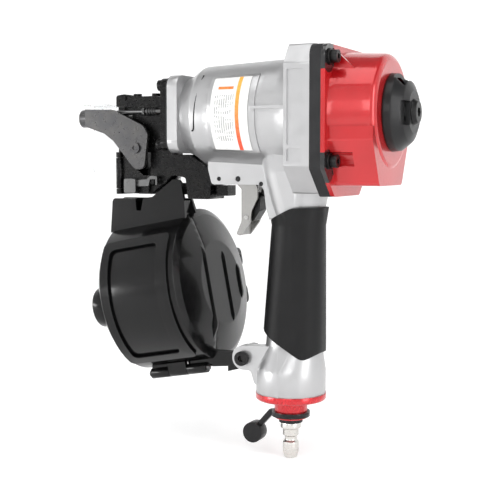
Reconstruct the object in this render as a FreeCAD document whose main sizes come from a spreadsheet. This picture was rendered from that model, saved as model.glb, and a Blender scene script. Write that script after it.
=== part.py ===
import FreeCAD, Part

import math
import os
import re

import Sketcher
from FreeCAD import Placement, Rotation, Vector

# A pneumatic coil nailer in millimetres. The driving axis is X, with the nose tip at X = 0
# and the exhaust at the far end. Z is up, the handle hangs towards -Z, and the magazine's
# cover opens towards -Y.

SIZES = [
    # cylinder casting
    ("barrel_front", 91, "front face of the barrel casting, along X"),
    ("front_half_width", 30, "half width of the barrel's front flange"),
    ("front_top", 28.8, "top of the front flange"),
    ("front_bottom", 27, "depth of the front flange below the axis"),
    ("front_flange", 8, "thickness of the front flange"),
    ("shoulder_radius", 35.8, "barrel radius behind the front flange"),
    ("barrel_radius", 39.5, "barrel radius at its rear end"),
    ("block_front", 188, "front of the octagonal rear block"),
    ("block_rear", 206.6, "rear face of the octagonal rear block"),
    ("block_half_width", 45, "half width of the rear block"),
    ("block_top", 45.3, "top of the rear block"),
    ("block_bottom", 55, "depth of the rear block below the axis"),
    ("chamber_radius", 33, "bore of the air chamber round the liner"),
    # driving engine
    ("liner_bore", 24, "radius of the cylinder liner's bore"),
    ("liner_wall", 2.4, "wall of the cylinder liner"),
    ("liner_front", 100, "front end of the liner"),
    ("liner_rear", 204, "rear end of the liner"),
    ("bumper_length", 14, "length of the rubber bumper"),
    ("piston_front", 190, "front face of the piston at the top of its stroke"),
    ("piston_length", 12, "length of the piston"),
    ("blade_radius", 2.9, "radius of the driver blade"),
    ("blade_tip", 78, "tip of the driver blade at the top of its stroke"),
    ("run_fit", 0.06, "radial clearance of pins and slides"),
    ("seat_fit", 0.04, "radial clearance of parts that stay put"),
    # head valve and cap
    ("gasket_thick", 8, "length of the ring between block and cap"),
    ("cap_flange", 3, "thickness of the cap's flange"),
    ("cap_rear", 250, "rear face of the cap"),
    ("cap_radius", 41.5, "radius of the cap behind its flange"),
    ("cap_cavity", 35, "radius of the cap's inner space"),
    ("cap_wall", 7, "thickness of the cap's rear wall"),
    ("bolt_reach_y", 36, "cap bolts to the middle plane"),
    ("upper_bolt_z", 35.8, "height of the two upper cap bolts"),
    ("lower_bolt_z", -33, "height of the two lower cap bolts"),
    ("cap_bolt_radius", 2.6, "radius of a cap bolt's shank"),
    ("sleeve_radius", 14.7, "radius of the cap's inner tube"),
    ("exhaust_radius", 26.5, "radius of the exhaust deflector"),
    ("exhaust_rear", 265, "rear face of the exhaust deflector"),
    ("exhaust_pivot", 6, "radius of the deflector's pivot bore"),
    # nose
    ("nose_front", 36, "front face of the nose casting"),
    ("nose_flange", 6.6, "thickness of the nose casting's flange"),
    ("nose_gasket_thick", 2.4, "thickness of the gasket behind the nose flange"),
    ("nose_near", 7, "half thickness of the nail channel's casting"),
    ("nose_bottom", 57.5, "depth of the nail channel's casting"),
    ("channel_half", 3.2, "half thickness of the nail channel"),
    ("channel_front", 42, "front of the nail channel"),
    ("channel_rear", 82, "rear of the nail channel"),
    ("guide_radius", 4.5, "outer radius of the driver guide tube"),
    ("foot_radius", 6.8, "outer radius of the contact foot"),
    ("foot_length", 25, "length of the contact foot's tube"),
    ("foot_travel", 10, "travel of the contact foot"),
    ("leaf_near", 15, "near face of the contact leaf"),
    ("leaf_thick", 3, "thickness of the contact leaf"),
    ("link_near", 11, "near face of the contact link"),
    ("link_thick", 2.5, "thickness of the contact link"),
    ("rod_y", 10.6, "contact rod from the middle plane"),
    ("rod_z", 4, "height of the contact rod"),
    ("latch_x", 54, "door latch's pin along X"),
    ("latch_z", -49, "door latch's pin height"),
    ("door_hinge_x", 38.5, "nail door's hinge pin along X"),
    ("door_hinge_y", 10.2, "nail door's hinge pin from the middle plane"),
    ("door_pin_radius", 1.5, "radius of the nail door's hinge pin"),
    ("feed_x", 62, "axis of the feed cylinder along X"),
    ("feed_y", 25, "axis of the feed cylinder from the middle plane"),
    ("feed_bore", 6.5, "radius of the feed cylinder's bore"),
    # trigger
    ("trigger_x", 139.8, "trigger's pivot along X"),
    ("trigger_z", -45.5, "trigger's pivot height"),
    ("trigger_half", 9, "half width of the trigger"),
    ("trigger_pin_radius", 2, "radius of the trigger's pin"),
    ("lever_x", 144.2, "safety lever's pin along X"),
    ("lever_z", -73.2, "safety lever's pin height"),
    ("valve_x", 149.5, "trigger valve's axis along X"),
    ("valve_radius", 6.5, "radius of the trigger valve's body"),
    # handle
    ("handle_x", 175.5, "axis of the handle's round end along X"),
    ("handle_end_radius", 25, "radius of the handle's round end"),
    ("handle_bottom", -199, "lower face of the handle"),
    ("grip_thick", 2.6, "wall of the rubber grip"),
    ("end_cap_thick", 5, "thickness of the end cap's flange"),
    ("boss_radius", 12, "radius of the end cap's boss"),
    ("boss_length", 14, "length of the end cap's boss"),
    ("plug_length", 26, "length of the air plug below its washer"),
    ("plug_radius", 7.4, "radius of the air plug's collar"),
    # magazine, in its own frame: u along the drum, w up from the drum's axis
    ("drum_x", 35.3, "centre of the drum's front face along X"),
    ("drum_y", 18, "drum's axis from the middle plane"),
    ("drum_z", -138.5, "height of the drum's front centre"),
    ("drum_tilt", 10.8, "slope of the drum's axis in degrees"),
    ("drum_radius", 58, "outer radius of the drum"),
    ("drum_length", 68, "length of the drum"),
    ("drum_wall", 3, "wall of the drum"),
    ("split_gap", 0.3, "gap between the magazine's two halves"),
    ("hinge_drop", 61, "magazine's hinge pin below the drum's axis"),
    ("hinge_pin_radius", 2, "radius of the magazine's hinge pin"),
    ("knuckle_radius", 4, "radius of the magazine's hinge knuckles"),
    ("post_radius", 5, "radius of the nail post"),
    ("mount_x", 144.2, "magazine's mounting bolt along X"),
    ("mount_z", -174.5, "magazine's mounting bolt height"),
]

doc = FreeCAD.newDocument("coil_nailer")
dims = doc.addObject("Spreadsheet::Sheet", "Dims")
for row, (name, size, note) in enumerate(SIZES, 1):
    dims.set(f"A{row}", note)
    dims.set(f"B{row}", str(size))
    dims.setAlias(f"B{row}", name)
doc.recompute()
NAMES = {name for name, size, note in SIZES}

# sizes that follow from the sheet
CAP_FRONT = "(block_rear + gasket_thick)"
FLANGE_REAR = "(block_rear + gasket_thick + cap_flange)"
GASKET_FRONT = "(barrel_front - nose_gasket_thick)"
FLANGE_FRONT = "(barrel_front - nose_gasket_thick - nose_flange)"
LINER_OUT = "(liner_bore + liner_wall)"
LEAF_FAR = "(leaf_thick - leaf_near)"
CAP_BOTTOM = "(handle_bottom - end_cap_thick)"
BOSS_BOTTOM = "(handle_bottom - end_cap_thick - boss_length)"
PLUG_TOP = "(handle_bottom - end_cap_thick - boss_length - 3)"

REARWARD = Rotation(Vector(0, 1, 0), 90)
FORWARD = Rotation(Vector(0, 1, 0), -90)
UPWARD = Rotation()
NEARWARD = Rotation(Vector(1, 0, 0), 90)
NOSE_BOLTS = ((17, "front_top - 6.5"), (19, "6.5 - front_bottom"))
PLANES = {"X": "YZ_Plane", "Y": "XZ_Plane", "Z": "XY_Plane"}
parts = {}


def bound(formula):
    """The formula with each named size read from the sheet."""
    return re.sub(r"[a-z_]+", lambda m: f"Dims.{m[0]}" if m[0] in NAMES else m[0], str(formula))


def number(formula):
    """The value that a formula has now."""
    return float(dims.evalExpression(bound(formula)))


def place(item, base, axis=None, angle=0):
    """Binds where an object stands and, where an axis is given, how far it is turned."""
    if axis:
        item.Placement = Placement(Vector(0, 0, 0), Rotation(axis, 1))
        item.setExpression(".Placement.Rotation.Angle", bound(angle))
    for key, formula in zip("xyz", base):
        item.setExpression(f".Placement.Base.{key}", bound(formula))
    return item


class Piece:
    """A sub-part made as a body: closed outlines, padded, cut, turned or lofted."""

    def __init__(self, name, base=(0, 0, 0), axis=None, angle=0):
        self.body = doc.addObject("PartDesign::Body", name)
        self.body.Label = name
        place(self.body, base, axis, angle)
        parts[name] = self.body

    def plane(self, role):
        """The body's own origin plane of that role."""
        return next(item for item in self.body.Origin.OriginFeatures if item.Role == role)

    def sketch(self, role, offset):
        """An empty sketch parallel to one of the origin planes."""
        sketch = self.body.newObject("Sketcher::SketchObject", "outline")
        sketch.AttachmentSupport = [(self.plane(role), "")]
        sketch.MapMode = "FlatFace"
        sketch.setExpression(".AttachmentOffset.Base.z", bound(offset))
        return sketch

    def fix_point(self, sketch, item, end, across, up):
        """Holds one point of a sketch at two formulas from the origin."""
        for kind, formula in (("DistanceX", across), ("DistanceY", up)):
            index = sketch.addConstraint(Sketcher.Constraint(kind, -1, 1, item, end, number(formula)))
            sketch.setExpression(f"Constraints[{index}]", bound(formula))

    def outline(self, role, corners, offset=0, circles=()):
        """A closed outline of straight sides, with corners that may be rounded, and circles.

        A corner is (across, up) or (across, up, radius), and a circle (across, up, radius).
        """
        sketch = self.sketch(role, offset)
        spots = [Vector(number(c[0]), number(c[1]), 0) for c in corners]
        count = len(spots)
        radii = [number(c[2]) if len(c) > 2 else 0 for c in corners]
        starts, ends, arcs = [], [], []
        for i, spot in enumerate(spots):
            to_last = (spots[i - 1] - spot).normalize()
            to_next = (spots[(i + 1) % count] - spot).normalize()
            half = to_last.getAngle(to_next) / 2
            reach = radii[i] / math.tan(half) if radii[i] else 0
            starts.append(spot + to_next * reach)
            ends.append(spot + to_last * reach)
            centre = spot + (to_last + to_next).normalize() * (radii[i] / math.sin(half)) if radii[i] else None
            arcs.append((centre, to_last.cross(to_next).z < 0))
        for i in range(count):
            sketch.addGeometry(Part.LineSegment(starts[i], ends[(i + 1) % count]))
        for i, spot in enumerate(spots):
            before = (i - 1) % count
            if not radii[i]:
                sketch.addConstraint(Sketcher.Constraint("Coincident", before, 2, i, 1))
                self.fix_point(sketch, i, 1, *corners[i][:2])
                continue
            centre, left_turn = arcs[i]
            first, last = (ends[i], starts[i]) if left_turn else (starts[i], ends[i])
            angles = [math.atan2(p.y - centre.y, p.x - centre.x) for p in (first, last)]
            circle = Part.Circle(centre, Vector(0, 0, 1), radii[i])
            arc = sketch.addGeometry(Part.ArcOfCircle(circle, *angles))
            apex = sketch.addGeometry(Part.Point(spot), True)
            sketch.addConstraint(Sketcher.Constraint("Tangent", before, 2, arc, 1 if left_turn else 2))
            sketch.addConstraint(Sketcher.Constraint("Tangent", arc, 2 if left_turn else 1, i, 1))
            rule = sketch.addConstraint(Sketcher.Constraint("Radius", arc, radii[i]))
            sketch.setExpression(f"Constraints[{rule}]", bound(corners[i][2]))
            sketch.addConstraint(Sketcher.Constraint("PointOnObject", apex, 1, before))
            sketch.addConstraint(Sketcher.Constraint("PointOnObject", apex, 1, i))
            self.fix_point(sketch, apex, 1, *corners[i][:2])
        for across, up, radius in circles:
            middle = Vector(number(across), number(up), 0)
            ring = sketch.addGeometry(Part.Circle(middle, Vector(0, 0, 1), number(radius)))
            rule = sketch.addConstraint(Sketcher.Constraint("Radius", ring, number(radius)))
            sketch.setExpression(f"Constraints[{rule}]", bound(radius))
            self.fix_point(sketch, ring, 3, across, up)
        return sketch

    def slab(self, across, corners, low, high, circles=()):
        """Pads an outline between two heights along the axis that it lies across."""
        offset = f"-({high})" if across == "Y" else low
        sketch = self.outline(PLANES[across], corners, offset, circles)
        pad = self.body.newObject("PartDesign::Pad", "pad")
        pad.Profile = sketch
        pad.setExpression("Length", bound(f"({high}) - ({low})"))
        return self

    def cut(self, across, corners, low, high, circles=()):
        """Cuts an outline away between two heights, and stops if it meets no material."""
        offset = f"-({low})" if across == "Y" else high
        sketch = self.outline(PLANES[across], corners, offset, circles)
        pocket = self.body.newObject("PartDesign::Pocket", "pocket")
        pocket.Profile = sketch
        pocket.setExpression("Length", bound(f"({high}) - ({low})"))
        return self.must_shrink(pocket)

    def must_shrink(self, feature):
        """Stops the build when a cut has taken nothing away."""
        doc.recompute()
        if not self.body.Shape.Volume < feature.BaseFeature.Shape.Volume:
            raise ValueError(f"{self.body.Label}: {feature.Label} cuts nothing")
        return self

    def hole(self, across, right, up, radius, low, high):
        """A round hole along an axis, between two heights."""
        return self.cut(across, (), low, high, [(right, up, radius)])

    def rings(self, axis, profile):
        """A sketch of a profile of (along, radius) points beside X, Y or Z, and its line."""
        if axis == "X":
            return self.outline("XZ_Plane", profile), "H_Axis"
        swapped = [(p[1], p[0]) + tuple(p[2:]) for p in profile]
        return self.outline("XY_Plane" if axis == "Y" else "XZ_Plane", swapped), "V_Axis"

    def turn(self, axis, profile):
        """Revolves a profile of (along, radius) points round X, Y or Z."""
        sketch, line = self.rings(axis, profile)
        return self.revolve(sketch, line, 360)

    def sector(self, profile, angle):
        """Revolves a profile of (along, radius) points round X, by an angle about the near side."""
        sketch = self.outline("XY_Plane", [(p[0], f"-({p[1]})") for p in profile])
        return self.revolve(sketch, "H_Axis", angle)

    def revolve(self, sketch, line, angle):
        """Turns a sketch about one of its own axes."""
        turned = self.body.newObject("PartDesign::Revolution", "turned")
        turned.Profile = sketch
        turned.ReferenceAxis = (sketch, [line])
        turned.Angle = angle
        turned.Midplane = angle < 360
        return self

    def bore(self, axis, profile):
        """Turns a profile of (along, radius) points out of the body."""
        sketch, line = self.rings(axis, profile)
        groove = self.body.newObject("PartDesign::Groove", "bore")
        groove.Profile = sketch
        groove.ReferenceAxis = (sketch, [line])
        groove.Angle = 360
        return self.must_shrink(groove)

    def loft(self, across, sections, cutting=False):
        """Joins outlines at several heights along an axis by straight walls."""
        role = PLANES[across]
        sketches = [self.outline(role, corners, height) for height, corners in sections]
        kind = "PartDesign::SubtractiveLoft" if cutting else "PartDesign::AdditiveLoft"
        lofted = self.body.newObject(kind, "loft")
        lofted.Profile = sketches[0]
        lofted.Sections = sketches[1:]
        lofted.Ruled = True
        return self


def box(low_x, high_x, low_y, high_y, radius=0):
    """The corners of a rectangle, rounded where a radius is given."""
    extra = (radius,) if radius else ()
    ends = [(low_x, low_y), (high_x, low_y), (high_x, high_y), (low_x, high_y)]
    return [spot + extra for spot in ends]


def ring(low, high, inner, outer):
    """The profile of a plain ring or tube."""
    return [(low, inner), (high, inner), (high, outer), (low, outer)]


def rod(low, high, radius):
    """The profile of a plain rod."""
    return ring(low, high, 0, radius)


def group(name, items):
    """Like pieces that share one node, each still a separate solid."""
    parts[name] = doc.addObject("Part::Compound", name)
    parts[name].Links = items
    parts[name].Label = name


def mirrored(item):
    """The same piece on the other side of the middle plane."""
    other = doc.addObject("Part::Mirroring", "mirrored")
    other.Source = item
    other.Normal = Vector(0, 1, 0)
    return other


def cylinder(base, turn, radius, length):
    """A plain cylinder that starts at its base."""
    solid = doc.addObject("Part::Cylinder", "cylinder")
    solid.setExpression("Radius", bound(radius))
    solid.setExpression("Height", bound(length))
    solid.Placement = Placement(Vector(0, 0, 0), turn)
    return place(solid, base)


def washer(base, turn, inner, outer, length):
    """A flat ring that starts at its base."""
    flat = doc.addObject("Part::Cut", "washer")
    flat.Base = cylinder(base, turn, outer, length)
    flat.Tool = cylinder(base, turn, inner, length)
    return flat


def socket_bolt(base, turn, head, head_length, shank, length):
    """A socket-head bolt along its own Z: the head above zero, the shank below."""
    solids = [cylinder((0, 0, 0), UPWARD, head, head_length),
              cylinder((0, 0, f"-({length})"), UPWARD, shank, length)]
    whole = doc.addObject("Part::MultiFuse", "bolt_blank")
    whole.Shapes = solids
    socket = doc.addObject("Part::Prism", "bolt_socket")
    socket.Polygon = 6
    socket.setExpression("Circumradius", bound(f"{head} * 0.5"))
    socket.setExpression("Height", bound(head_length))
    socket.setExpression(".Placement.Base.z", bound(f"{head_length} * 0.4"))
    bolt = doc.addObject("Part::Cut", "bolt")
    bolt.Base = whole
    bolt.Tool = socket
    bolt.Placement = Placement(Vector(0, 0, 0), turn)
    return place(bolt, base)


def spring(name, base, turn, length, coil, wire, turns):
    """A round-wire compression spring along its own Z."""
    line = doc.addObject("Part::Helix", "spring_line")
    line.setExpression("Height", bound(f"{length} - 2 * {wire}"))
    line.setExpression("Pitch", bound(f"({length} - 2 * {wire}) / {turns}"))
    line.setExpression("Radius", bound(coil))
    section = doc.addObject("Part::Circle", "spring_wire")
    section.Placement = Placement(Vector(0, 0, 0), Rotation(Vector(1, 0, 0), 90))
    section.setExpression("Radius", bound(wire))
    section.setExpression(".Placement.Base.x", bound(coil))
    for item in (line, section):
        item.setExpression(".Placement.Base.z", bound(wire))
    wound = doc.addObject("Part::Sweep", name)
    wound.Sections = [section]
    wound.Spine = (line, [])
    wound.Solid = True
    wound.Frenet = True
    wound.Label = name
    wound.Placement = Placement(Vector(0, 0, 0), turn)
    parts[name] = place(wound, base)


def main_housing():
    """The cast cylinder, its rear block, the trigger housing, the hollow handle and the rear arm."""
    casting = Piece("main_housing")
    casting.turn("X", [("barrel_front + front_flange - 1", 8), ("barrel_front + front_flange - 1", 28),
                       ("barrel_front + front_flange + 4", "shoulder_radius - 6"),
                       ("barrel_front + front_flange + 13", "shoulder_radius", 3),
                       ("block_front - 2", "barrel_radius"), ("block_front + 4", "block_top - 3"),
                       ("block_front + 4", 8)])
    casting.slab("X", box("-front_half_width", "front_half_width", "-front_bottom", "front_top", 9),
                 "barrel_front", "barrel_front + front_flange")
    casting.slab("X", [("-block_half_width", -36, 2), ("18 - block_half_width", "-block_bottom", 3),
                       ("block_half_width - 18", "-block_bottom", 3), ("block_half_width", -36, 2),
                       ("block_half_width", 32, 3), ("block_half_width - 10", "block_top", 3),
                       ("10 - block_half_width", "block_top", 3), ("-block_half_width", 32, 3)],
                 "block_front", "block_rear")
    # raised pad for the label on the near side
    casting.sector([("barrel_front + 36", "shoulder_radius - 3"), ("barrel_front + 73",
                   "shoulder_radius - 3"),
                    ("barrel_front + 73", "shoulder_radius + 3.6"),
                    ("barrel_front + 36", "shoulder_radius + 1.75")], 88)
    # parting rib from the pad to the rear block
    casting.slab("Z", [("barrel_front + 70", "4 - barrel_radius"), ("barrel_front + 70",
                 "-barrel_radius - 0.8"),
                       ("block_front + 3", "-barrel_radius - 2.2"), ("block_front + 3",
                                                                     "4 - barrel_radius")], 2.6, 4.6)
    # trigger housing: a deep rib under the barrel that runs back into the handle
    casting.slab("Y", [("trigger_x - 24", -25), ("trigger_x - 24", "trigger_z + 7"),
                       ("trigger_x - 21", "trigger_z - 4", 2.5), ("trigger_x + 20", "trigger_z - 4", 6),
                       ("trigger_x + 22", "trigger_z - 20", 6), ("trigger_x + 24.5", "trigger_z - 28.5"),
                       ("trigger_x + 33", "trigger_z - 24.5"), ("trigger_x + 40", "trigger_z - 20.5"),
                       ("trigger_x + 50", -40),
                       ("trigger_x + 50", -25)], -14, 14)
    # handle: its neck, the core under the grip and the round lower end
    for low, high, foot, top in (
            (-78, -40, box("handle_x - 11", "handle_x + 22.5", -15.5, 15.5, 15),
             box("handle_x - 17.5", "handle_x + 27.5", -22, 22, 15)),
            (-164, -78, box("handle_x - 17.5", "handle_x + 22.5", -17, 17, 15),
             box("handle_x - 11", "handle_x + 22.5", -15.5, 15.5, 15)),
            (-182, -164, box("handle_x - handle_end_radius", "handle_x + handle_end_radius",
                             "-handle_end_radius", "handle_end_radius", "handle_end_radius - 0.5"),
             box("handle_x - 17.5", "handle_x + 22.5", -17, 17, 15))):
        casting.loft("Z", ((low, foot), (high, top)))
    casting.slab("Z", box("handle_x - handle_end_radius", "handle_x + handle_end_radius",
                          "-handle_end_radius", "handle_end_radius", "handle_end_radius - 0.5"),
                 "handle_bottom", -182)
    # the neck widens into the barrel
    casting.loft("Z", ((-40, box("handle_x - 17.5", "handle_x + 27.5", -22, 22, 15)),
                       (-18, box("handle_x - 17.5", "handle_x + 27.5", -31, 31, 15))))
    # rear arm that carries the magazine
    casting.slab("Y", [("mount_x - 8.6", "mount_z + 8.6", 8.5), ("handle_x - 10", "mount_z + 10"),
                       ("handle_x - 10", "mount_z - 19"), ("handle_x - 22", "mount_z - 19", 4),
                       ("mount_x + 6", "mount_z - 8.6", 3), ("mount_x - 8.6", "mount_z - 8.6", 8.5)],
                 -15, -5)
    # recessed panels on the flanks and the top of the rear block
    for low, high in ((-33, -24.5), (-22, 28)):
        for inner, outer in (("-block_half_width", "0.9 - block_half_width"),
                             ("block_half_width - 0.9", "block_half_width")):
            casting.cut("Y", box("block_front + 2.5", "block_rear - 5", low, high, 0.8), inner, outer)
    casting.cut("Z", box("block_front + 2.5", "block_rear - 5", -29, 29, 0.8), "block_top - 0.9",
                "block_top")
    # bore for the liner, widening to the air chamber round it
    casting.bore("X", [("barrel_front - 1", 0), ("block_rear + 1", 0),
                       ("block_rear + 1", f"{LINER_OUT} + 4.2"), ("block_rear - 10", f"{LINER_OUT} + 4.2"),
                       ("block_rear - 10", "chamber_radius - 3.5"), ("block_rear - 16", "chamber_radius"),
                       ("liner_front + 26", "chamber_radius"), ("liner_front + 20",
                                                                f"{LINER_OUT} + seat_fit"),
                       ("liner_front - 0.2", f"{LINER_OUT} + seat_fit"), ("liner_front - 0.2", 9),
                       ("barrel_front - 1", 9)])
    # air way through the handle and the bore for its end cap
    casting.hole("Z", "handle_x + 5", 0, 10, "handle_bottom", -30)
    casting.hole("Z", "handle_x", 0, 20, "handle_bottom", -176)
    # trigger slot, valve bore and cross holes
    casting.cut("Z", box("trigger_x - 9", "trigger_x + 16.6", "-trigger_half - 0.4", "trigger_half + 0.4",
                1),
                "trigger_z - 12", "trigger_z + 9")
    casting.hole("Z", "valve_x", 0, "valve_radius + seat_fit", "trigger_z + 8", "trigger_z + 16")
    casting.hole("Y", "trigger_x", "trigger_z", "trigger_pin_radius + seat_fit", -15, 15)
    for pin_x, pin_z in (("trigger_x - 15.2", "trigger_z"), ("trigger_x + 18.1", "trigger_z - 3.4")):
        casting.hole("Y", pin_x, pin_z, "1.6 + seat_fit", -15, 15)
    casting.hole("Y", "mount_x", "mount_z", "3 + seat_fit", -16, -4)
    for side in (-1, 1):
        for bolt_z in ("upper_bolt_z", "lower_bolt_z"):
            casting.hole("X", f"{side} * bolt_reach_y", bolt_z, "cap_bolt_radius + seat_fit",
                         "block_rear - 15", "block_rear")
        for bolt_y, bolt_z in NOSE_BOLTS:
            casting.hole("X", f"{side} * ({bolt_y})", bolt_z, "2.5 + seat_fit",
                         "barrel_front", "barrel_front + 7.5")


def label_plate():
    """A thin curved label on the near side of the barrel."""
    label = Piece("label_plate")
    label.sector([("barrel_front + 39", "shoulder_radius + 2.01"), ("barrel_front + 68",
                 "shoulder_radius + 3.46"),
                  ("barrel_front + 68", "shoulder_radius + 3.86"),
                  ("barrel_front + 39", "shoulder_radius + 2.41")], 80)


def housing_pins():
    """Two roll pins that cross the trigger housing."""
    pins = []
    for pin_x, pin_z in (("trigger_x - 15.2", "trigger_z"), ("trigger_x + 18.1", "trigger_z - 3.4")):
        pin = doc.addObject("Part::Cylinder", "roll_pin")
        pin.Radius = 1.6
        pin.Height = 27
        pin.Placement = Placement(Vector(0, 0, 0), NEARWARD)
        pins.append(place(pin, (pin_x, 13.5, pin_z)))
    group("housing_pins", pins)


def engine():
    """Liner and its seals, bumper, piston with its ring, and the driver blade."""
    liner = Piece("cylinder_liner")
    liner.turn("X", [("liner_front", "liner_bore"), ("liner_rear", "liner_bore"),
                     ("liner_rear", f"{LINER_OUT} + 4"), ("liner_rear - 7", f"{LINER_OUT} + 4"),
                     ("liner_rear - 7", LINER_OUT), ("liner_front + 12.2", LINER_OUT),
                     ("liner_front + 12.2", f"{LINER_OUT} - 1"), ("liner_front + 9.8", f"{LINER_OUT} - 1"),
                     ("liner_front + 9.8", LINER_OUT), ("liner_front", LINER_OUT)])
    seal = Piece("liner_seal")
    seal.turn("X", ring("liner_front + 9.9", "liner_front + 12.1", f"{LINER_OUT} - 0.98", LINER_OUT))
    bumper = Piece("piston_bumper")
    bumper.turn("X", [("liner_front", 9), ("liner_front + bumper_length", 5.5),
                      ("liner_front + bumper_length", "liner_bore - 4"),
                      ("liner_front + bumper_length - 4", "liner_bore - 0.3"),
                      ("liner_front", "liner_bore - 0.3")])
    piston = Piece("drive_piston")
    rear = "(piston_front + piston_length)"
    piston.turn("X", [("piston_front", "blade_radius + seat_fit"), (rear, "blade_radius + seat_fit"),
                      (rear, "liner_bore - run_fit"), ("piston_front + 8", "liner_bore - run_fit"),
                      ("piston_front + 8", "liner_bore - 2.5"), ("piston_front + 4", "liner_bore - 2.5"),
                      ("piston_front + 4", "liner_bore - run_fit"), ("piston_front",
                                                                     "liner_bore - run_fit")])
    piston_ring = Piece("piston_ring")
    piston_ring.turn("X", ring("piston_front + 4.1", "piston_front + 7.9", "liner_bore - 2.4",
                               "liner_bore - run_fit"))
    blade = Piece("driver_blade")
    blade.turn("X", rod("blade_tip", rear, "blade_radius"))


def head_valve():
    """The ring valve that closes the liner's rear end, and its spring."""
    valve = Piece("head_valve")
    face = "(liner_rear + 0.3)"
    valve.turn("X", [(face, "sleeve_radius + run_fit"), ("cap_rear - cap_wall - 18",
               "sleeve_radius + run_fit"),
                     ("cap_rear - cap_wall - 18", "sleeve_radius + 4"), (f"{face} + 10",
                                                                         "sleeve_radius + 4"),
                     (f"{face} + 10", f"{LINER_OUT} + 3.4"), (face, f"{LINER_OUT} + 3.4")])
    spring("head_valve_spring", (f"{face} + 10.1", 0, 0), REARWARD, 22, "sleeve_radius + 6.6", 1.1, 4)


def cylinder_cap():
    """The painted cap, the ring that seals it and the bolts that hold it."""
    edge = [("-block_half_width", -38, 4), ("20 - block_half_width", "-block_bottom - 2", 4),
            ("block_half_width - 20", "-block_bottom - 2", 4), ("block_half_width", -38, 4),
            ("block_half_width", "upper_bolt_z + 8.5", 8), ("-block_half_width", "upper_bolt_z + 8.5", 8)]
    seal = Piece("cap_gasket")
    seal.slab("X", edge, "block_rear", CAP_FRONT)
    seal.hole("X", 0, 0, f"{LINER_OUT} + 6", "block_rear", CAP_FRONT)
    cap = Piece("cylinder_cap")
    cap.slab("X", edge, CAP_FRONT, FLANGE_REAR)
    cap.turn("X", [(CAP_FRONT, 6), (CAP_FRONT, "cap_radius - 1"), (FLANGE_REAR, "cap_radius"),
                   ("cap_rear", "cap_radius - 2", 5), ("cap_rear", 6)])
    cap.slab("X", [("cap_radius - 1", -10), ("cap_radius - 1.5", -19, 4), ("block_half_width - 20", -49.5,
             5),
                   ("20 - block_half_width", -49.5, 5), ("1.5 - cap_radius", -19, 4), ("1 - cap_radius",
                                                                                       -10)],
             FLANGE_REAR, "cap_rear - 1")
    for side in (-1, 1):
        cap.slab("Y", [(FLANGE_REAR, "cap_radius - 22"), (f"{FLANGE_REAR} + 24", "cap_radius - 22"),
                       (FLANGE_REAR, "cap_radius + 0.5")], f"{side} * 28 - 1.5", f"{side} * 28 + 1.5")
    cap.bore("X", [(f"{CAP_FRONT} - 1", "sleeve_radius"), ("cap_rear - cap_wall", "sleeve_radius"),
                   ("cap_rear - cap_wall", "cap_cavity"), (f"{CAP_FRONT} - 1", "cap_cavity")])
    cap.bore("X", [(f"{CAP_FRONT} - 1", 0), ("cap_rear + 1", 0), ("cap_rear + 1",
             "exhaust_pivot + seat_fit - 0.1"),
                   ("cap_rear - cap_wall - 4", "exhaust_pivot + seat_fit - 0.1"),
                   ("cap_rear - cap_wall - 4", 11), (f"{CAP_FRONT} - 1", 11)])
    for step in range(6):
        cap.hole("X", f"18 * cos({step * 60 + 30})", f"18 * sin({step * 60 + 30})", 2.6,
                 "cap_rear - cap_wall", "cap_rear")
    for side in (-1, 1):
        for bolt_z in ("upper_bolt_z", "lower_bolt_z"):
            spot = (f"{side} * bolt_reach_y", bolt_z)
            seal.hole("X", *spot, "cap_bolt_radius + 0.2", "block_rear", CAP_FRONT)
            cap.hole("X", *spot, "cap_bolt_radius + 0.2", CAP_FRONT, FLANGE_REAR)
        cap.hole("X", f"{side} * bolt_reach_y", "lower_bolt_z", 6, FLANGE_REAR, f"{FLANGE_REAR} + 16")
    bolts, washers = [], []
    for bolt_z in ("upper_bolt_z", "lower_bolt_z"):
        bolt = socket_bolt((f"{FLANGE_REAR} + 1.2", "-bolt_reach_y", bolt_z), REARWARD, 4.3, 5,
                           "cap_bolt_radius", 24)
        flat = washer((FLANGE_REAR, "-bolt_reach_y", bolt_z), REARWARD, "cap_bolt_radius + 0.2", 5.4, 1.2)
        bolts += [bolt, mirrored(bolt)]
        washers += [flat, mirrored(flat)]
    group("cap_bolts", bolts)
    group("cap_washers", washers)


def exhaust():
    """The swivelling exhaust deflector and the bolt that it turns on."""
    deflector = Piece("exhaust_deflector", ("cap_rear + 0.2", 0, 0))
    depth = "(exhaust_rear - cap_rear - 0.2)"
    deflector.turn("X", [(0, "exhaust_pivot"), (depth, "exhaust_pivot"), (depth, "exhaust_radius - 12"),
                         (f"{depth} - 2.5", "exhaust_radius - 6", 3), (5.5, "exhaust_radius - 0.5", 2),
                         (0, "exhaust_radius")])
    deflector.bore("X", [(-1, 11), (f"{depth} - 3", 11), (f"{depth} - 4.5", "exhaust_radius - 9"),
                         (5, "exhaust_radius - 3.2"), (-1, "exhaust_radius - 3")])
    deflector.cut("Z", box(4, f"{depth} - 3.2", -13, 13, 1.5), 9, "exhaust_radius + 1")
    deflector.cut("Y", box(f"{depth} - 3.5", f"{depth} + 1", -9, 7), "-exhaust_radius", -10.5)
    bolt = Piece("exhaust_bolt", ("cap_rear", 0, 0))
    bolt.turn("X", [("-cap_wall - 3.8", 0), ("exhaust_rear - cap_rear + 3", 0),
              ("exhaust_rear - cap_rear + 3", 7.5, 1),
                    ("exhaust_rear - cap_rear + 0.2", 9), ("exhaust_rear - cap_rear + 0.2",
                                                           "exhaust_pivot - run_fit"),
                    ("-cap_wall - 3.8", "exhaust_pivot - run_fit")])
    bolt.cut("X", [(f"3.5 * cos({a})", f"3.5 * sin({a})") for a in range(0, 360, 60)],
             "exhaust_rear - cap_rear", "exhaust_rear - cap_rear + 3")


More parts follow.
